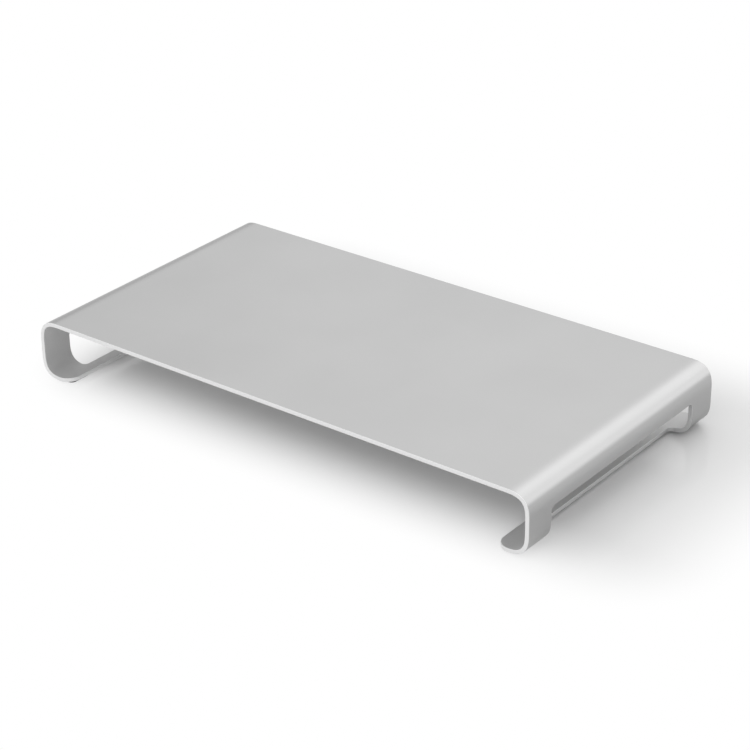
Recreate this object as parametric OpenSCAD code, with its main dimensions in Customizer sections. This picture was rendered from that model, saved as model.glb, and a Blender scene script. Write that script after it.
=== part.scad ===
// Monitor riser stand
// One aluminium sheet bent into a low bridge: a flat deck, two upright side walls with a
// window cut in each, and two narrow foot flanges turned in under the deck. It stands on
// four rubber pads, each bonded to the underside of a flange end by an adhesive film.
// The origin is the middle of the footprint on the desk: +X right, +Y rear, +Z up, in mm.

/* [Sheet body] */
// Overall width across the two side walls
body_w = 400; // [300:5:600]
// Depth from the front edge to the rear edge
body_d = 210; // [150:5:300]
// Height from the underside of the foot flanges to the top of the deck
body_h = 43; // [40:1:120]
// Thickness of the aluminium sheet
sheet_t = 2.8; // [1.5:0.1:4]
// Outer radius of the bends between the deck and the walls
deck_bend_r = 12; // [6:0.5:16]
// Outer radius of the bends between the walls and the foot flanges
foot_bend_r = 12; // [6:0.5:13]

/* [Foot flanges] */
// Reach of a flange, from the outer face of its wall to its inner edge
flange_reach = 24.5; // [24:0.5:40]
// Radius of the flange's two inner corners, seen from above
flange_corner_r = 10; // [2:0.5:11]

/* [Side windows] */
// Depth of the leg that is left in front of each window, and behind it
leg_d = 24; // [18:0.5:40]
// Height of the wall that is left above each window, measured from the top of the deck
rail_h = 18; // [16:0.5:22]
// Width of the flange strip that is left inside each window
strip_w = 8.5; // [4:0.5:9]
// Radius of the window's corners
window_corner_r = 3.5; // [1:0.5:4]

/* [Foot pads] */
// Thickness of the rubber
pad_t = 1.2; // [0.8:0.1:3]
// Radius of the pad's corners, seen from below
pad_corner_r = 4; // [1:0.25:4.25]
// Gap from a pad's long sides to the flange's inner edge and to the start of the bend
pad_side_gap = 1.75; // [1:0.25:2]
// Gap from a pad's outer end to the stand's front or rear edge
pad_end_gap = 4; // [3:0.5:6]
// Gap from a pad's inner end to the window
pad_window_gap = 1.5; // [1:0.5:4]
// Thickness of the adhesive film between a pad and its flange
film_t = 0.2; // [0.1:0.05:0.5]
// Margin by which the film stays inside the pad's outline
film_inset = 0.4; // [0.1:0.1:1]

/* [Hidden] */
$fn = 96;
// Every cutter runs this far past what it cuts
over = 1;
// Underside of the foot flanges, above the desk
body_z = pad_t + film_t;
// Length of a window along the stand's depth
window_l = body_d - 2 * leg_d;
// Upper edge of a window, above the underside of the flanges
window_top = body_h - rail_h;
// Reach of a window's lower edge, from the outer face of the wall
window_reach = flange_reach - strip_w;
// The flat part of a flange, between its inner edge and the bend
flange_flat = flange_reach - foot_bend_r;
// A pad fills the flat part of a leg's flange, less its gaps
pad_w = flange_flat - 2 * pad_side_gap;
pad_l = leg_d - pad_end_gap - pad_window_gap;
pad_x = body_w / 2 - foot_bend_r - flange_flat / 2;
pad_y = body_d / 2 - pad_end_gap - pad_l / 2;

// Name of each leg, with its side and its end as signs along X and Y
LEGS = [["front_left", -1, -1], ["front_right", 1, -1], ["rear_left", -1, 1], ["rear_right", 1, 1]];

// Rectangle on the X axis, its upper two corners and its lower two corners rounded apart
module rounded_profile(w, h, top_r, bottom_r) {
    translate([-w / 2, bottom_r]) square([w, h - top_r - bottom_r]);
    translate([-w / 2 + top_r, h - top_r]) square([w - 2 * top_r, top_r]);
    translate([-w / 2 + bottom_r, 0]) square([w - 2 * bottom_r, bottom_r]);
    for (side = [-1, 1]) {
        translate([side * (w / 2 - top_r), h - top_r]) circle(top_r);
        translate([side * (w / 2 - bottom_r), bottom_r]) circle(bottom_r);
    }
}

// Rectangle about the origin with four round corners
module round_rect(w, l, r) {
    square([w, l - 2 * r], center = true);
    square([w - 2 * r, l], center = true);
    for (x = [-1, 1], y = [-1, 1]) translate([x * (w / 2 - r), y * (l / 2 - r)]) circle(r);
}

// Cutter outline on the X axis, reaching up to h with its two upper corners rounded
module window_outline(l, h, r) {
    translate([-l / 2, -over]) square([l, h - r + over]);
    translate([-l / 2 + r, 0]) square([l - 2 * r, h]);
    for (side = [-1, 1]) translate([side * (l / 2 - r), h - r]) circle(r);
}

// The sheet after its four bends, before the windows are cut
module bent_sheet() {
    rotate([90, 0, 0]) linear_extrude(body_d, center = true) difference() {
        rounded_profile(body_w, body_h, deck_bend_r, foot_bend_r);
        translate([0, sheet_t]) rounded_profile(
            body_w - 2 * sheet_t, body_h - 2 * sheet_t, deck_bend_r - sheet_t, foot_bend_r - sheet_t
        );
        translate([-body_w / 2 + flange_reach, -over])
            square([body_w - 2 * flange_reach, sheet_t + 2 * over]);
    }
}

// Cutter for the right window: up through the flange and the lower bend, then out through the wall
module window_cutter() {
    translate([body_w / 2, 0, -over]) linear_extrude(foot_bend_r + over)
        rotate(90) window_outline(window_l, window_reach, window_corner_r);
    translate([body_w / 2 - sheet_t - over, 0, foot_bend_r]) rotate([90, 0, 90])
        linear_extrude(sheet_t + 2 * over)
            window_outline(window_l, window_top - foot_bend_r, window_corner_r);
}

// Cutter that rounds the front inner corner of the right flange
module corner_cutter() {
    translate([body_w / 2 - flange_reach, -body_d / 2, -over])
        linear_extrude(sheet_t + 2 * over) difference() {
            translate([-over, -over]) square(flange_corner_r + over);
            translate([flange_corner_r, flange_corner_r]) circle(flange_corner_r);
        }
}

module stand_body() {
    color([0.77, 0.77, 0.77]) translate([0, 0, body_z]) difference() {
        bent_sheet();
        for (left = [0, 1]) mirror([left, 0, 0]) {
            window_cutter();
            for (rear = [0, 1]) mirror([0, rear, 0]) corner_cutter();
        }
    }
}

module foot_pad(side, end) {
    color([0.14, 0.14, 0.14]) translate([side * pad_x, end * pad_y, 0])
        linear_extrude(pad_t) round_rect(pad_w, pad_l, pad_corner_r);
}

module adhesive_film(side, end) {
    color([0.85, 0.84, 0.8]) translate([side * pad_x, end * pad_y, pad_t])
        linear_extrude(film_t)
            round_rect(pad_w - 2 * film_inset, pad_l - 2 * film_inset, pad_corner_r - film_inset);
}

stand_body();
for (leg = LEGS) {
    foot_pad(leg[1], leg[2]);
    adhesive_film(leg[1], leg[2]);
}
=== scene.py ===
"""Monitor riser stand: the finished surfaces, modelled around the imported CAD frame.

One bead-blasted, anodised aluminium sheet with bright cut edges, on four glued rubber pads.
"""
import math

import bmesh
import bpy
from mathutils import Matrix, Vector


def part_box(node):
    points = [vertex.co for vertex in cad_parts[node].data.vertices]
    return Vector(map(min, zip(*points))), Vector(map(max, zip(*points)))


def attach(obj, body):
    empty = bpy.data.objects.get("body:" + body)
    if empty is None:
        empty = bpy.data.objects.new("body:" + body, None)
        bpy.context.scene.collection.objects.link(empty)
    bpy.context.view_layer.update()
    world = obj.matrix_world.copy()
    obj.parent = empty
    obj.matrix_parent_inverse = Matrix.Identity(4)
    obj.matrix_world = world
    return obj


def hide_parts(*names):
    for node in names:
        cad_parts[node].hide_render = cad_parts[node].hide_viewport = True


bl_info = {
    "name": "Monitor riser stand",
    "version": (1, 0, 0),
    "blender": (4, 5, 0),
    "location": "View3D > Sidebar > Riser stand",
    "description": "Models a bent aluminium monitor riser, its foot pads and a small studio",
    "category": "Add Mesh",
}

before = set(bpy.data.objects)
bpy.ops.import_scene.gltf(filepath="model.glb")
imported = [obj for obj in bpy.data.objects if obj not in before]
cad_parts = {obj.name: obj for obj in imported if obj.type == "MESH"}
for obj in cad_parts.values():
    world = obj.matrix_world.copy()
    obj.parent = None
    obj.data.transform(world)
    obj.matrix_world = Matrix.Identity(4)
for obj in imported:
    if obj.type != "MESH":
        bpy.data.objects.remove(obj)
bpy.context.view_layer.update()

MM = 0.001
BODY = "root"
LEGS = ("front_left", "front_right", "rear_left", "rear_right")
SHEET_LOW, SHEET_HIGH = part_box("stand_body")
X_AXIS, Y_AXIS, Z_AXIS = range(3)

# Lengths that differ by less than this count as the same
SAME_LENGTH = 0.01 * MM
# Share of an edge's length along an axis, above which it counts as parallel to it
PARALLEL = 0.999
# Share of a face's normal along an axis, above which it counts as facing that way
FACING = 0.9
# The same for the flat underside of a pad, which is told apart from its rounded rim
FLAT_FACING = 0.99
# After a cut, points closer than the first merge and edges shorter than the second go
MERGE_GAP = 0.05 * MM
SHORT_EDGE = 0.001 * MM
# How far a cutter runs past what it cuts
CUTTER_OVER = 2 * MM

# Faces around each small rounding
BREAK_STEPS = 3
PAD_CORNER_STEPS = 12
PAD_RIM_STEPS = 4
FILM_RIM_STEPS = 2
# Faces that meet at more than this angle keep a sharp edge between them
SHARP_ANGLE = math.radians(35)
# Lead of large faces over small ones in smooth shading: 50 is none, 100 the most
FACE_WEIGHT = 100

# Values between which most of a noise pattern lies
NOISE_LOW, NOISE_HIGH = 0.3, 0.7
# Lights of the studio, by the start of the names of their settings
LIGHTS = ("back", "left", "right", "front")
# Share of a soft light's spread that has its full strength
CORE_SHARE = 0.4
# Elevations between which the backdrop turns into sky
BACKDROP_EDGES = (math.radians(6), math.radians(16))
# Width of the floor in metres
FLOOR_SIZE = 12
# Sensor that the camera's focal length belongs to, in millimetres
SENSOR_WIDTH = 36

# Painted shade: the floor keeps its lit grey, with the stand's real shadow in it, only on an oblong
# around the stand that is shifted towards its right and rear, and fades to white outside it
PAINTED_SHADE_CENTRE = (35 * MM, 40 * MM, 0)
PAINTED_SHADE_HALF = (195 * MM, 90 * MM, 0)
PAINTED_SHADE_FADE = 80 * MM

# Places of the sheet's four finishes in its list of materials
OUTER_FACE, BRIGHT_RIM, WINDOW_CUT, INNER_FACE = range(4)


class StandSheetSizes(bpy.types.PropertyGroup):
    """Sizes of the bent sheet that its box doesn't give"""

    thickness: bpy.props.FloatProperty(
        name="Sheet", description="Thickness of the aluminium sheet",
        default=2.8 * MM, min=1.5 * MM, max=4 * MM, unit="LENGTH")
    bend_reach: bpy.props.FloatProperty(
        name="Bend reach", description="Where a bend starts, measured from its sharp corner",
        default=17.2 * MM, min=12 * MM, max=17.5 * MM, unit="LENGTH")
    bend_fullness: bpy.props.FloatProperty(
        name="Bend fullness",
        description="Shape of a bend: 0.5 is a plain arc, more eases in and out",
        default=0.615, min=0.5, max=0.8, subtype="FACTOR")
    flange_reach: bpy.props.FloatProperty(
        name="Flange reach", description="From a wall's outer face to its flange's inner edge",
        default=24.5 * MM, min=24 * MM, max=40 * MM, unit="LENGTH")
    flange_corner: bpy.props.FloatProperty(
        name="Flange corner", description="Radius of a flange's inner corners, seen from above",
        default=10 * MM, min=2 * MM, max=11 * MM, unit="LENGTH")
    leg_depth: bpy.props.FloatProperty(
        name="Leg depth", description="Depth of the leg in front of and behind each window",
        default=24 * MM, min=18 * MM, max=40 * MM, unit="LENGTH")
    rail_height: bpy.props.FloatProperty(
        name="Rail height", description="Wall left above each window, from the deck's top",
        default=18 * MM, min=16 * MM, max=22 * MM, unit="LENGTH")
    strip_width: bpy.props.FloatProperty(
        name="Strip width", description="Flange strip left inside each window",
        default=8.5 * MM, min=4 * MM, max=9 * MM, unit="LENGTH")
    window_corner: bpy.props.FloatProperty(
        name="Window corner", description="Radius of each window's corners",
        default=3.5 * MM, min=1 * MM, max=4 * MM, unit="LENGTH")
    rim_break: bpy.props.FloatProperty(
        name="Rim break", description="Rounding of the sheet's outer cut edges",
        default=0.35 * MM, min=0.1 * MM, max=0.6 * MM, unit="LENGTH")
    window_break: bpy.props.FloatProperty(
        name="Window break", description="Rounding of the windows' cut edges",
        default=0.2 * MM, min=0.1 * MM, max=0.6 * MM, unit="LENGTH")
    window_guard: bpy.props.FloatProperty(
        name="Window guard",
        description="From a window to the edge loop that keeps its shading local",
        default=1 * MM, min=0.5 * MM, max=4 * MM, unit="LENGTH")
    bend_steps: bpy.props.IntProperty(
        name="Bend steps", description="Faces around each bend", default=32, min=8, max=64)
    corner_steps: bpy.props.IntProperty(
        name="Corner steps", description="Faces around each cut corner", default=11, min=4, max=32)


class StandFootSizes(bpy.types.PropertyGroup):
    """Sizes of the foot pads and their adhesive films"""

    pad_corner: bpy.props.FloatProperty(
        name="Pad corner", description="Radius of a pad's corners, seen from below",
        default=4 * MM, min=1 * MM, max=4.25 * MM, unit="LENGTH")
    film_inset: bpy.props.FloatProperty(
        name="Film inset", description="Margin of the film inside the pad's outline",
        default=0.4 * MM, min=0.1 * MM, max=1 * MM, unit="LENGTH")
    pad_round: bpy.props.FloatProperty(
        name="Pad rounding", description="Rounding of a pad's lower rim",
        default=0.4 * MM, min=0.1 * MM, max=0.6 * MM, unit="LENGTH")
    film_round: bpy.props.FloatProperty(
        name="Film rounding", description="Rounding of the film's cut edge",
        default=0.05 * MM, min=0.02 * MM, max=0.08 * MM, unit="LENGTH")
    rib_rim: bpy.props.FloatProperty(
        name="Rib rim", description="Plain rim around the grip ribs under a pad",
        default=1.3 * MM, min=0.6 * MM, max=2 * MM, unit="LENGTH")
    groove_count: bpy.props.IntProperty(
        name="Grooves", description="Grip grooves across the underside of a pad",
        default=6, min=2, max=10)
    groove_width: bpy.props.FloatProperty(
        name="Groove width", description="Width of one grip groove",
        default=0.9 * MM, min=0.3 * MM, max=1.5 * MM, unit="LENGTH")
    groove_depth: bpy.props.FloatProperty(
        name="Groove depth", description="Depth of one grip groove",
        default=0.3 * MM, min=0.1 * MM, max=0.6 * MM, unit="LENGTH")


class StandFinish(bpy.types.PropertyGroup):
    """Colours of the finishes, in linear light"""

    satin: bpy.props.FloatVectorProperty(
        name="Satin aluminium", description="Bead-blasted, anodised faces",
        subtype="COLOR", size=3, min=0, max=1, default=(0.44, 0.44, 0.44))
    # Painted light: lighter than the outer faces' colour, to lift the shade under the deck
    inner: bpy.props.FloatVectorProperty(
        name="Inner aluminium", description="Faces under the deck, rougher and lighter",
        subtype="COLOR", size=3, min=0, max=1, default=(0.65, 0.65, 0.65))
    # Partly painted highlight: the machined edges are a real bright finish, and this pale colour on
    # a half-matte metal keeps them bright all round
    bright: bpy.props.FloatVectorProperty(
        name="Bright edge", description="Machined outer edges of the sheet",
        subtype="COLOR", size=3, min=0, max=1, default=(0.78, 0.78, 0.78))
    # Painted light: lighter than the blasted faces, to lift the shade in the window cuts
    window: bpy.props.FloatVectorProperty(
        name="Window edge", description="Cut edges of the windows",
        subtype="COLOR", size=3, min=0, max=1, default=(0.62, 0.62, 0.62))
    rubber: bpy.props.FloatVectorProperty(
        name="Pad rubber", description="Foot pads",
        subtype="COLOR", size=3, min=0, max=1, default=(0.022, 0.022, 0.023))
    film: bpy.props.FloatVectorProperty(
        name="Adhesive film", description="Film between pads and flanges",
        subtype="COLOR", size=3, min=0, max=1, default=(0.62, 0.6, 0.52))
    floor: bpy.props.FloatVectorProperty(
        name="Floor", description="Studio floor",
        subtype="COLOR", size=3, min=0, max=1, default=(0.74, 0.74, 0.74))


class StandStudio(bpy.types.PropertyGroup):
    """Backdrop, sky and soft lights: each light's way is an azimuth, clockwise from the rear,
    and an elevation"""

    backdrop: bpy.props.FloatProperty(
        name="Backdrop", description="Brightness of the pale backdrop along the horizon",
        default=0.95, min=0, max=1)
    sky: bpy.props.FloatProperty(
        name="Sky", description="Brightness of the sky between the soft lights",
        default=0.75, min=0, max=1)
    back_way: bpy.props.FloatVectorProperty(
        name="Back light", description="Way to the high light behind the stand",
        size=2, unit="ROTATION", default=(math.radians(357), math.radians(44)))
    back_spread: bpy.props.FloatProperty(
        name="Back spread", description="Angle from the back light's middle to its rim",
        subtype="ANGLE", default=math.radians(27))
    back_strength: bpy.props.FloatProperty(
        name="Back strength", description="Brightness that the back light adds",
        default=1.2, min=0, max=2)
    left_way: bpy.props.FloatVectorProperty(
        name="Left light", description="Way to the light behind the stand on its left",
        size=2, unit="ROTATION", default=(math.radians(322), math.radians(29)))
    left_spread: bpy.props.FloatProperty(
        name="Left spread", description="Angle from the left light's middle to its rim",
        subtype="ANGLE", default=math.radians(15))
    left_strength: bpy.props.FloatProperty(
        name="Left strength", description="Brightness that the left light adds",
        default=0.68, min=0, max=2)
    right_way: bpy.props.FloatVectorProperty(
        name="Right light", description="Way to the low light behind the stand on its right",
        size=2, unit="ROTATION", default=(math.radians(37), math.radians(24)))
    right_spread: bpy.props.FloatProperty(
        name="Right spread", description="Angle from the right light's middle to its rim",
        subtype="ANGLE", default=math.radians(27))
    right_strength: bpy.props.FloatProperty(
        name="Right strength", description="Brightness that the right light adds",
        default=1, min=0, max=2)
    front_way: bpy.props.FloatVectorProperty(
        name="Front light", description="Way to the fill light in front of the stand",
        size=2, unit="ROTATION", default=(math.radians(185), math.radians(25)))
    front_spread: bpy.props.FloatProperty(
        name="Front spread", description="Angle from the front light's middle to its rim",
        subtype="ANGLE", default=math.radians(75))
    front_strength: bpy.props.FloatProperty(
        name="Front strength", description="Brightness that the front light adds",
        default=0.45, min=0, max=2)


class StandCamera(bpy.types.PropertyGroup):
    """Where the camera stands, fitted to the photograph's edges"""

    azimuth: bpy.props.FloatProperty(
        name="Azimuth", description="Turn to the stand's right of straight ahead",
        default=math.radians(37.993), subtype="ANGLE")
    elevation: bpy.props.FloatProperty(
        name="Elevation", description="Height above the horizon",
        default=math.radians(27.314), subtype="ANGLE")
    roll: bpy.props.FloatProperty(
        name="Roll", description="Turn of the camera about its own axis",
        default=math.radians(-0.713), subtype="ANGLE")
    distance: bpy.props.FloatProperty(
        name="Distance", description="From the camera to the point it looks at",
        default=1507.3 * MM, min=0.5, unit="LENGTH")
    target: bpy.props.FloatVectorProperty(
        name="Target", description="Point that the camera looks at",
        size=3, subtype="TRANSLATION", default=(12.0 * MM, -8.55 * MM, 26.4 * MM))
    lens: bpy.props.FloatProperty(
        name="Lens", description="Focal length in millimetres on a 36 mm sensor", default=109.91)


def deselect_all():
    """Leaves edit mode and clears the selection."""
    if bpy.context.object and bpy.context.object.mode != "OBJECT":
        bpy.ops.object.mode_set(mode="OBJECT")
    bpy.ops.object.select_all(action="DESELECT")


def make_active(piece):
    """Selects one object alone."""
    deselect_all()
    piece.select_set(True)
    bpy.context.view_layer.objects.active = piece


def add_block(name, low, high):
    """A block between two corners, with its place in its mesh, in edit mode."""
    deselect_all()
    low, high = Vector(low), Vector(high)
    bpy.ops.mesh.primitive_cube_add(size=1, location=(low + high) / 2, scale=high - low)
    piece = bpy.context.object
    piece.name = name
    piece.data.name = name
    bpy.ops.object.transform_apply(location=True, rotation=True, scale=True)
    bpy.ops.object.mode_set(mode="EDIT")
    return piece


def pick(piece, kind, test):
    """In edit mode, selects the faces, edges or vertices for which a test holds."""
    modes = {"verts": "VERT", "edges": "EDGE", "faces": "FACE"}
    bpy.ops.mesh.select_all(action="DESELECT")
    bpy.ops.mesh.select_mode(type=modes[kind])
    mesh = bmesh.from_edit_mesh(piece.data)
    for part in getattr(mesh, kind):
        part.select_set(bool(test(part)))
    mesh.select_flush_mode()
    bmesh.update_edit_mesh(piece.data)


def middle(part):
    """Centre of an edge or a face."""
    if isinstance(part, bmesh.types.BMFace):
        return part.calc_center_median()
    return (part.verts[0].co + part.verts[1].co) / 2


def runs_along(edge, axis):
    """True if an edge is parallel to an axis."""
    way = edge.verts[1].co - edge.verts[0].co
    return abs(way[axis]) > PARALLEL * way.length


def near(a, b):
    """True if two lengths are the same to a hundredth of a millimetre."""
    return abs(a - b) < SAME_LENGTH


def bevel(size, steps, fullness=0.5, material=-1):
    """Rounds the selected edges, as a plain arc or a fuller one."""
    bpy.ops.mesh.bevel(offset_type="OFFSET", offset=size, segments=steps, profile=fullness,
                       affect="EDGES", clamp_overlap=False, material=material)


def clean_mesh(piece):
    """Merges the near points that a cut leaves behind, and turns every face outwards."""
    make_active(piece)
    bpy.ops.object.mode_set(mode="EDIT")
    bpy.ops.mesh.select_all(action="SELECT")
    bpy.ops.mesh.remove_doubles(threshold=MERGE_GAP)
    bpy.ops.mesh.dissolve_degenerate(threshold=SHORT_EDGE)
    bpy.ops.mesh.normals_make_consistent(inside=False)
    bpy.ops.object.mode_set(mode="OBJECT")


def add_modifier(piece, kind, **settings):
    """Adds one modifier and applies it."""
    make_active(piece)
    modifier = piece.modifiers.new(kind.title(), kind)
    for name, value in settings.items():
        setattr(modifier, name, value)
    bpy.ops.object.modifier_apply(modifier=modifier.name)


def trim_corner(piece, sizes, side_sign, end_sign):
    """In edit mode, trims one free corner of a flange round, by one short cut after another."""
    radius = sizes.flange_corner
    hub = Vector((side_sign * (SHEET_HIGH.x - sizes.flange_reach + radius),
                  end_sign * (SHEET_HIGH.y - radius), 0))
    turn = math.pi / 2 / sizes.corner_steps
    for step in range(sizes.corner_steps):
        angle = turn * (step + 0.5)
        way = Vector((-side_sign * math.cos(angle), end_sign * math.sin(angle), 0))
        pick(piece, "faces", lambda face: (
            middle(face).x * side_sign > 0 and middle(face).z < SHEET_LOW.z + sizes.thickness))
        bpy.ops.mesh.bisect(plane_co=hub + way * radius * math.cos(turn / 2), plane_no=way,
                            clear_outer=True)


def bend_sheet(sizes, materials):
    """The sheet after its bends, before the windows are cut, with its faces and rims told apart."""
    piece = add_block("aluminium_sheet", SHEET_LOW, SHEET_HIGH)
    for material in materials:
        piece.data.materials.append(material)
    side = SHEET_HIGH.x
    tip = side - sizes.flange_reach

    pick(piece, "faces", lambda face: abs(face.normal.y) > FACING)
    bpy.ops.mesh.delete(type="FACE")
    for x in (-tip, tip):
        pick(piece, "faces", lambda face: face.normal.z < -FACING)
        bpy.ops.mesh.bisect(plane_co=(x, 0, 0), plane_no=(1, 0, 0))
    pick(piece, "faces", lambda face: face.normal.z < -FACING and abs(middle(face).x) < tip)
    bpy.ops.mesh.delete(type="FACE")
    for z in (SHEET_LOW.z, SHEET_HIGH.z):
        pick(piece, "edges", lambda edge: (
            runs_along(edge, Y_AXIS) and near(abs(middle(edge).x), side)
            and near(middle(edge).z, z)))
        bevel(sizes.bend_reach, sizes.bend_steps, sizes.bend_fullness)
    for side_sign in (-1, 1):
        for end_sign in (-1, 1):
            trim_corner(piece, sizes, side_sign, end_sign)
    guard = SHEET_HIGH.y - sizes.leg_depth + sizes.window_guard
    for y in (-guard, guard):
        bpy.ops.mesh.select_all(action="SELECT")
        bpy.ops.mesh.bisect(plane_co=(0, y, 0), plane_no=(0, 1, 0))
    bpy.ops.object.mode_set(mode="OBJECT")
    add_modifier(piece, "SOLIDIFY", thickness=sizes.thickness, offset=-1, use_even_offset=True,
                 material_offset=INNER_FACE, material_offset_rim=BRIGHT_RIM)
    return piece


def window_cutter(sizes, sign):
    """Cutter for one window: up through the flange and lower bend, then out through the wall."""
    side = SHEET_HIGH.x
    half = SHEET_HIGH.y - sizes.leg_depth
    inner = side - sizes.flange_reach + sizes.strip_width
    low = SHEET_LOW.z
    step = low + sizes.bend_reach
    top = SHEET_HIGH.z - sizes.rail_height
    wall = side - sizes.thickness - CUTTER_OVER

    xs = sorted((sign * inner, sign * (side + CUTTER_OVER)))
    piece = add_block("window_cutter", (xs[0], -half, low - CUTTER_OVER), (xs[1], half, step))
    pick(piece, "faces", lambda face: face.normal.z > FACING)
    bpy.ops.mesh.bisect(plane_co=(sign * wall, 0, step), plane_no=(1, 0, 0))
    pick(piece, "faces", lambda face: face.normal.z > FACING and abs(middle(face).x) > wall)
    bpy.ops.mesh.extrude_region_move(TRANSFORM_OT_translate={"value": (0, 0, top - step)})
    pick(piece, "edges", lambda edge: (
        runs_along(edge, Z_AXIS) and near(abs(middle(edge).x), inner)
        or runs_along(edge, X_AXIS) and near(middle(edge).z, top)))
    bevel(sizes.window_corner, sizes.corner_steps)
    bpy.ops.mesh.select_all(action="SELECT")
    bpy.ops.mesh.normals_make_consistent(inside=False)
    bpy.ops.object.mode_set(mode="OBJECT")
    return piece


def cut_windows(piece, sizes):
    """Cuts both windows out of the bent sheet, with a finish of their own."""
    for sign in (-1, 1):
        cutter = window_cutter(sizes, sign)
        for material in piece.data.materials:
            cutter.data.materials.append(material)
        cutter.active_material_index = WINDOW_CUT
        bpy.ops.object.mode_set(mode="EDIT")
        bpy.ops.mesh.select_all(action="SELECT")
        bpy.ops.object.material_slot_assign()
        bpy.ops.object.mode_set(mode="OBJECT")
        add_modifier(piece, "BOOLEAN", operation="DIFFERENCE", solver="EXACT", object=cutter)
        bpy.data.objects.remove(cutter)
    clean_mesh(piece)


def break_edges(piece, sizes):
    """Rounds every edge between the sheet's faces and its cuts, in the finish of the cut."""
    make_active(piece)
    bpy.ops.object.mode_set(mode="EDIT")
    for cut, size in ((BRIGHT_RIM, sizes.rim_break), (WINDOW_CUT, sizes.window_break)):
        pairs = ({OUTER_FACE, cut}, {INNER_FACE, cut})
        pick(piece, "edges", lambda edge: (
            {face.material_index for face in edge.link_faces} in pairs))
        bevel(size, BREAK_STEPS, material=cut)
    bpy.ops.object.mode_set(mode="OBJECT")


def smooth_shading(piece):
    """Smooth shading with sharp edges kept. A mesh that isn't closed stops the build."""
    make_active(piece)
    bpy.ops.object.mode_set(mode="EDIT")
    open_edges = [edge for edge in bmesh.from_edit_mesh(piece.data).edges if not edge.is_manifold]
    bpy.ops.object.mode_set(mode="OBJECT")
    if open_edges:
        raise RuntimeError(f"{piece.name} has {len(open_edges)} open edges")
    bpy.ops.object.shade_smooth_by_angle(angle=SHARP_ANGLE)
    add_modifier(piece, "WEIGHTED_NORMAL", keep_sharp=True, weight=FACE_WEIGHT)


def copy_to(piece, name, shift):
    """A copy of a piece, moved, with a mesh of its own."""
    make_active(piece)
    bpy.ops.object.duplicate(linked=False)
    copy = bpy.context.object
    copy.name = name
    copy.data.name = name
    bpy.ops.transform.translate(value=shift)
    bpy.ops.object.transform_apply(location=True, rotation=True, scale=True)
    return copy


def centre(node):
    """Middle of a CAD node's box."""
    low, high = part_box(node)
    return (Vector(low) + Vector(high)) / 2


def round_slab(name, node, corner):
    """A slab the size of a node, its upright corners rounded, in edit mode."""
    piece = add_block(name, *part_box(node))
    pick(piece, "edges", lambda edge: runs_along(edge, Z_AXIS))
    bevel(corner, PAD_CORNER_STEPS)
    return piece


def rubber_pad(name, node, sizes):
    """One foot pad: rounded lower rim, and grip grooves across its underside."""
    low, high = (Vector(corner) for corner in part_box(node))
    piece = round_slab(name, node, sizes.pad_corner)
    pick(piece, "edges", lambda edge: all(near(vert.co.z, low.z) for vert in edge.verts))
    bevel(sizes.pad_round, PAD_RIM_STEPS)

    pick(piece, "faces", lambda face: face.normal.z < -FLAT_FACING)
    bpy.ops.mesh.inset(thickness=sizes.rib_rim - sizes.pad_round)
    half = (high.y - low.y) / 2 - sizes.rib_rim
    pitch = 2 * half / sizes.groove_count
    first = (high.y + low.y) / 2 - half + pitch / 2
    lines = [first + pitch * index for index in range(sizes.groove_count)]
    inner = (high.x - low.x) / 2 - sizes.rib_rim
    middle_x = (high.x + low.x) / 2

    def on_grip(face):
        place = middle(face)
        return (face.normal.z < -FLAT_FACING and near(place.z, low.z) and
                abs(place.x - middle_x) < inner)

    for line in lines:
        for side in (-1, 1):
            pick(piece, "faces", lambda face: (
                on_grip(face) and all(abs(vert.co.x - middle_x) < inner + SAME_LENGTH
                                      for vert in face.verts)))
            bpy.ops.mesh.bisect(plane_co=(0, line + side * sizes.groove_width / 2, 0),
                                plane_no=(0, 1, 0))
    pick(piece, "faces", lambda face: (
        on_grip(face) and any(abs(middle(face).y - line) < sizes.groove_width / 4
                              for line in lines)))
    bpy.ops.mesh.extrude_region_move(
        TRANSFORM_OT_translate={"value": (0, 0, sizes.groove_depth)})
    bpy.ops.object.mode_set(mode="OBJECT")
    return piece


def glue_film(name, node, sizes):
    """One film of adhesive, its cut edge slightly rounded."""
    piece = round_slab(name, node, sizes.pad_corner - sizes.film_inset)
    pick(piece, "edges", lambda edge: near(edge.verts[0].co.z, edge.verts[1].co.z))
    bevel(sizes.film_round, FILM_RIM_STEPS)
    bpy.ops.object.mode_set(mode="OBJECT")
    return piece


def principled(name):
    """A new node material: its tree and its shader."""
    material = bpy.data.materials.new(name)
    material.use_nodes = True
    return material, material.node_tree, material.node_tree.nodes["Principled BSDF"]


def grain(tree, size, detail=2, stretch=(1, 1, 1)):
    """Noise on Object coordinates, with grains of about one size, longer where it is stretched."""
    coords = tree.nodes.new("ShaderNodeTexCoord")
    mapping = tree.nodes.new("ShaderNodeMapping")
    mapping.inputs["Scale"].default_value = [1 / way for way in stretch]
    noise = tree.nodes.new("ShaderNodeTexNoise")
    noise.inputs["Scale"].default_value = 1 / size
    noise.inputs["Detail"].default_value = detail
    tree.links.new(coords.outputs["Object"], mapping.inputs["Vector"])
    tree.links.new(mapping.outputs["Vector"], noise.inputs["Vector"])
    return noise.outputs["Fac"]


def vary(tree, pattern, socket, low, high):
    """Lets a pattern move a shader's number between two values."""
    spread = tree.nodes.new("ShaderNodeMapRange")
    spread.inputs["From Min"].default_value = NOISE_LOW
    spread.inputs["From Max"].default_value = NOISE_HIGH
    spread.inputs["To Min"].default_value = low
    spread.inputs["To Max"].default_value = high
    tree.links.new(pattern, spread.inputs["Value"])
    tree.links.new(spread.outputs["Result"], socket)


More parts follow.
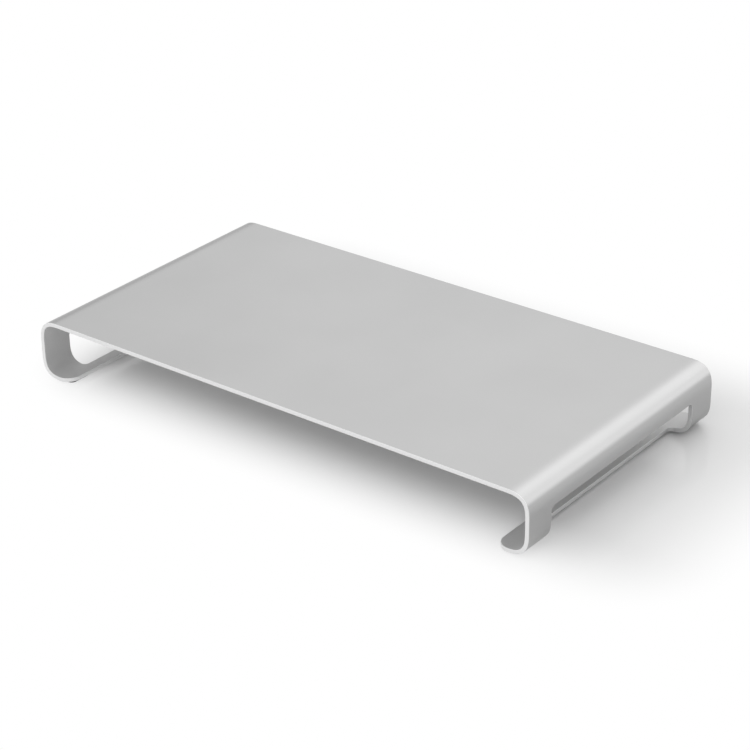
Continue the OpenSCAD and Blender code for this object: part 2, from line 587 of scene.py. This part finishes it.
def shade(tree, pattern, socket, colour, depth):
    """Lets a pattern make a colour darker and lighter by a share of itself."""
    mix = tree.nodes.new("ShaderNodeMix")
    mix.data_type = "RGBA"
    mix.inputs["A"].default_value = (*(part * (1 - depth) for part in colour), 1)
    mix.inputs["B"].default_value = (*(part * (1 + depth) for part in colour), 1)
    tree.links.new(pattern, mix.inputs["Factor"])
    tree.links.new(mix.outputs["Result"], socket)


def emboss(tree, pattern, shader, depth):
    """Raises a pattern on the surface by a depth in metres."""
    bump = tree.nodes.new("ShaderNodeBump")
    bump.inputs["Distance"].default_value = depth
    tree.links.new(pattern, bump.inputs["Height"])
    tree.links.new(bump.outputs["Normal"], shader.inputs["Normal"])


def texture(tree, pattern, shader, colour, shading, roughness, relief):
    """Lets one pattern shade, roughen and raise a surface."""
    shade(tree, pattern, shader.inputs["Base Color"], colour, shading)
    vary(tree, pattern, shader.inputs["Roughness"], *roughness)
    emboss(tree, pattern, shader, relief)


def blasted_aluminium(finish):
    """Bead-blasted, clear anodised faces: a fine even grain and faint clouds of gloss."""
    material, tree, shader = principled("blasted_aluminium")
    shader.inputs["Metallic"].default_value = 1
    shader.inputs["Specular Tint"].default_value = (0.85, 0.85, 0.85, 1)
    shade(tree, grain(tree, 0.5 * MM), shader.inputs["Base Color"], finish.satin, depth=0.05)
    vary(tree, grain(tree, 60 * MM, detail=4), shader.inputs["Roughness"], low=0.28, high=0.32)
    emboss(tree, grain(tree, 0.35 * MM), shader, depth=0.004 * MM)
    return material


def inner_aluminium(finish):
    """Faces under the deck: blasted like the outer ones, but rougher, and painted lighter to lift
    the shade under the deck.
    """
    material, tree, shader = principled("inner_aluminium")
    shader.inputs["Metallic"].default_value = 1
    shade(tree, grain(tree, 0.6 * MM), shader.inputs["Base Color"], finish.inner, depth=0.05)
    vary(tree, grain(tree, 60 * MM, detail=4), shader.inputs["Roughness"], low=0.72, high=0.78)
    emboss(tree, grain(tree, 0.4 * MM), shader, depth=0.006 * MM)
    return material


def bright_rim(finish):
    """Outer edges of the sheet, machined bright after the blasting: fine level cutter lines. Their
    pale colour on a half-matte metal is partly painted highlight, which keeps the edges bright all
    round.
    """
    material, tree, shader = principled("bright_rim")
    shader.inputs["Metallic"].default_value = 0.5
    lines = grain(tree, 0.3 * MM, stretch=(12, 12, 1))
    texture(tree, lines, shader, finish.bright,
            shading=0.03, roughness=(0.3, 0.38), relief=0.002 * MM)
    return material


def window_cut(finish):
    """Cut edges of the windows, blasted with the faces: the cut's ripple runs through the wall.
    Their colour is painted lighter than the faces' and only partly metallic, which lifts the shade
    in the cuts.
    """
    material, tree, shader = principled("window_cut")
    shader.inputs["Metallic"].default_value = 0.6
    ripple = grain(tree, 0.5 * MM, stretch=(10, 1, 1))
    texture(tree, ripple, shader, finish.window,
            shading=0.06, roughness=(0.42, 0.5), relief=0.01 * MM)
    return material


def moulded_rubber(finish):
    """Matte moulded rubber with a sandy skin."""
    material, tree, shader = principled("moulded_rubber")
    shader.inputs["Specular IOR Level"].default_value = 0.35
    skin = grain(tree, 0.25 * MM, detail=3)
    texture(tree, skin, shader, finish.rubber,
            shading=0.3, roughness=(0.68, 0.85), relief=0.02 * MM)
    return material


def clear_film(finish):
    """Pale pressure-sensitive film, slightly cloudy."""
    material, tree, shader = principled("clear_film")
    clouds = grain(tree, 1.5 * MM, detail=3)
    texture(tree, clouds, shader, finish.film,
            shading=0.08, roughness=(0.35, 0.5), relief=0.01 * MM)
    return material


def compass(azimuth, elevation):
    """Unit vector of an azimuth, clockwise from the rear, and an elevation."""
    return Vector((math.sin(azimuth) * math.cos(elevation), math.cos(azimuth) * math.cos(elevation),
                   math.sin(elevation)))


def combine(tree, operation, first, second):
    """Joins two numbers by one operation of arithmetic."""
    join = tree.nodes.new("ShaderNodeMath")
    join.operation = operation
    tree.links.new(first, join.inputs[0])
    tree.links.new(second, join.inputs[1])
    return join.outputs["Value"]


def vector_step(tree, operation, vector, amount=None):
    """One step of arithmetic on a vector, with a fixed amount where the step takes one."""
    step = tree.nodes.new("ShaderNodeVectorMath")
    step.operation = operation
    tree.links.new(vector, step.inputs[0])
    if amount is not None:
        step.inputs[1].default_value = amount
    return step


def soft_step(tree, value, start, end, top=1):
    """Goes smoothly from nought at one value to a top at another."""
    step = tree.nodes.new("ShaderNodeMapRange")
    step.interpolation_type = "SMOOTHSTEP"
    step.inputs["From Min"].default_value = start
    step.inputs["From Max"].default_value = end
    step.inputs["To Max"].default_value = top
    tree.links.new(value, step.inputs["Value"])
    return step.outputs["Result"]


def floor_sheet(finish):
    """Pale studio floor with a slight gloss, which fades to white away from the stand.

    Only the camera, and gloss and glass that mirror the floor, see the added white. The grey oblong
    around the stand, where none is added, is painted shade.
    """
    material, tree, shader = principled("floor_sheet")
    shader.inputs["Base Color"].default_value = (*finish.floor, 1)
    shader.inputs["Roughness"].default_value = 0.12
    shader.inputs["Specular IOR Level"].default_value = 0.15
    # Painted shade: how far a point lies outside the oblong around the stand; white is mixed in
    # from its edge outwards
    place = tree.nodes.new("ShaderNodeTexCoord").outputs["Object"]
    for operation, amount in (("SUBTRACT", PAINTED_SHADE_CENTRE), ("ABSOLUTE", None),
                              ("SUBTRACT", PAINTED_SHADE_HALF), ("MAXIMUM", (0, 0, 0))):
        place = vector_step(tree, operation, place, amount).outputs["Vector"]
    distance = vector_step(tree, "LENGTH", place).outputs["Value"]
    fade = soft_step(tree, distance, 0, PAINTED_SHADE_FADE)

    path = tree.nodes.new("ShaderNodeLightPath")
    seen = path.outputs["Is Camera Ray"]
    for name in ("Is Glossy Ray", "Is Transmission Ray"):
        seen = combine(tree, "MAXIMUM", seen, path.outputs[name])
    white = tree.nodes.new("ShaderNodeEmission")
    join = tree.nodes.new("ShaderNodeMixShader")
    tree.links.new(combine(tree, "MULTIPLY", fade, seen), join.inputs["Fac"])
    tree.links.new(shader.outputs["BSDF"], join.inputs[1])
    tree.links.new(white.outputs["Emission"], join.inputs[2])
    tree.links.new(join.outputs["Shader"], tree.nodes["Material Output"].inputs["Surface"])
    material.cycles.emission_sampling = "NONE"
    return material


def studio_sky(studio):
    """A pale backdrop along the horizon, a dimmer sky above it, and four soft round lights."""
    world = bpy.data.worlds.new("studio_sky")
    world.use_nodes = True
    tree = world.node_tree
    ray = tree.nodes.new("ShaderNodeTexCoord").outputs["Generated"]
    parts = tree.nodes.new("ShaderNodeSeparateXYZ")
    tree.links.new(ray, parts.inputs["Vector"])
    rise = soft_step(tree, parts.outputs["Z"], *(math.sin(edge) for edge in BACKDROP_EDGES))
    join = tree.nodes.new("ShaderNodeMix")
    join.inputs["A"].default_value = studio.backdrop
    join.inputs["B"].default_value = studio.sky
    tree.links.new(rise, join.inputs["Factor"])
    total = join.outputs["Result"]
    for name in LIGHTS:
        spread = getattr(studio, name + "_spread")
        way = compass(*getattr(studio, name + "_way"))
        cosine = vector_step(tree, "DOT_PRODUCT", ray, way).outputs["Value"]
        light = soft_step(tree, cosine, math.cos(spread), math.cos(CORE_SHARE * spread),
                          getattr(studio, name + "_strength"))
        total = combine(tree, "ADD", total, light)
    tree.links.new(total, tree.nodes["Background"].inputs["Strength"])
    tree.nodes["Background"].inputs["Color"].default_value = (1, 1, 1, 1)
    return world


def camera_place(view):
    """The camera's matrix, from its angles, its distance and the point that it looks at."""
    back = compass(math.pi - view.azimuth, view.elevation)
    right = Vector((math.cos(view.azimuth), math.sin(view.azimuth), 0))
    up = back.cross(right)
    place = Matrix((right, up, back)).transposed().to_4x4()
    place = place @ Matrix.Rotation(view.roll, 4, "Z")
    place.translation = Vector(view.target) + back * view.distance
    return place


class STAND_OT_sheet_body(bpy.types.Operator):
    """Model the bent aluminium sheet with its windows and bright edges"""

    bl_idname = "stand.sheet_body"
    bl_label = "Sheet body"

    def execute(self, context):
        sizes = context.scene.stand_sheet
        finish = context.scene.stand_finish
        piece = bend_sheet(sizes, (blasted_aluminium(finish), bright_rim(finish),
                                   window_cut(finish), inner_aluminium(finish)))
        cut_windows(piece, sizes)
        break_edges(piece, sizes)
        smooth_shading(piece)
        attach(piece, BODY)
        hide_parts("stand_body")
        return {"FINISHED"}


class STAND_OT_foot_pads(bpy.types.Operator):
    """Model one rubber pad and copy it to every leg"""

    bl_idname = "stand.foot_pads"
    bl_label = "Foot pads"

    def execute(self, context):
        first = "foot_pad_" + LEGS[0]
        pad = rubber_pad("rubber_pad_" + LEGS[0], first, context.scene.stand_foot)
        pad.data.materials.append(moulded_rubber(context.scene.stand_finish))
        smooth_shading(pad)
        for leg in LEGS:
            node = "foot_pad_" + leg
            piece = pad
            if node != first:
                piece = copy_to(pad, "rubber_pad_" + leg, centre(node) - centre(first))
            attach(piece, BODY)
            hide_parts(node)
        return {"FINISHED"}


class STAND_OT_glue_films(bpy.types.Operator):
    """Model one adhesive film and copy it to every pad"""

    bl_idname = "stand.glue_films"
    bl_label = "Adhesive films"

    def execute(self, context):
        first = "adhesive_film_" + LEGS[0]
        film = glue_film("glue_film_" + LEGS[0], first, context.scene.stand_foot)
        film.data.materials.append(clear_film(context.scene.stand_finish))
        smooth_shading(film)
        for leg in LEGS:
            node = "adhesive_film_" + leg
            piece = film
            if node != first:
                piece = copy_to(film, "glue_film_" + leg, centre(node) - centre(first))
            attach(piece, BODY)
            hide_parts(node)
        return {"FINISHED"}


class STAND_OT_stage(bpy.types.Operator):
    """Set up the floor, the studio light and the camera"""

    bl_idname = "stand.stage"
    bl_label = "Stage"

    def execute(self, context):
        scene = context.scene
        deselect_all()
        bpy.ops.mesh.primitive_plane_add(size=FLOOR_SIZE, location=(0, 0, 0))
        floor = context.object
        floor.name = "floor"
        floor.data.materials.append(floor_sheet(scene.stand_finish))

        bpy.ops.object.camera_add()
        camera = context.object
        camera.name = "photo_camera"
        camera.matrix_world = camera_place(scene.stand_camera)
        camera.data.lens = scene.stand_camera.lens
        camera.data.sensor_width = SENSOR_WIDTH
        scene.camera = camera

        scene.world = studio_sky(scene.stand_studio)
        scene.view_settings.view_transform = "Standard"
        return {"FINISHED"}


class STAND_PT_sidebar(bpy.types.Panel):
    """Lists the steps that build the stand, each above its settings"""

    bl_idname = "STAND_PT_sidebar"
    bl_label = "Monitor riser stand"
    bl_space_type = "VIEW_3D"
    bl_region_type = "UI"
    bl_category = "Riser stand"

    def draw(self, context):
        scene = context.scene
        steps = ((STAND_OT_sheet_body, (scene.stand_sheet, scene.stand_finish)),
                 (STAND_OT_foot_pads, (scene.stand_foot,)),
                 (STAND_OT_glue_films, ()),
                 (STAND_OT_stage, (scene.stand_studio, scene.stand_camera)))
        for step, groups in steps:
            box = self.layout.box()
            box.operator(step.bl_idname)
            for group in groups:
                for name in group.__annotations__:
                    box.prop(group, name)


CLASSES = (StandSheetSizes, StandFootSizes, StandFinish, StandStudio, StandCamera,
           STAND_OT_sheet_body, STAND_OT_foot_pads, STAND_OT_glue_films, STAND_OT_stage,
           STAND_PT_sidebar)
GROUPS = {"stand_sheet": StandSheetSizes, "stand_foot": StandFootSizes,
          "stand_finish": StandFinish, "stand_studio": StandStudio, "stand_camera": StandCamera}


def register():
    """Registers every class, and hangs the settings on the scene."""
    for item in CLASSES:
        bpy.utils.register_class(item)
    for name, group in GROUPS.items():
        setattr(bpy.types.Scene, name, bpy.props.PointerProperty(type=group))


def unregister():
    """Takes the settings off the scene, and every class out again."""
    for name in GROUPS:
        delattr(bpy.types.Scene, name)
    for item in reversed(CLASSES):
        bpy.utils.unregister_class(item)


def main():
    """Builds the stand and its stage."""
    register()
    bpy.ops.stand.sheet_body()
    bpy.ops.stand.foot_pads()
    bpy.ops.stand.glue_films()
    bpy.ops.stand.stage()


if __name__ == "__main__":
    main()
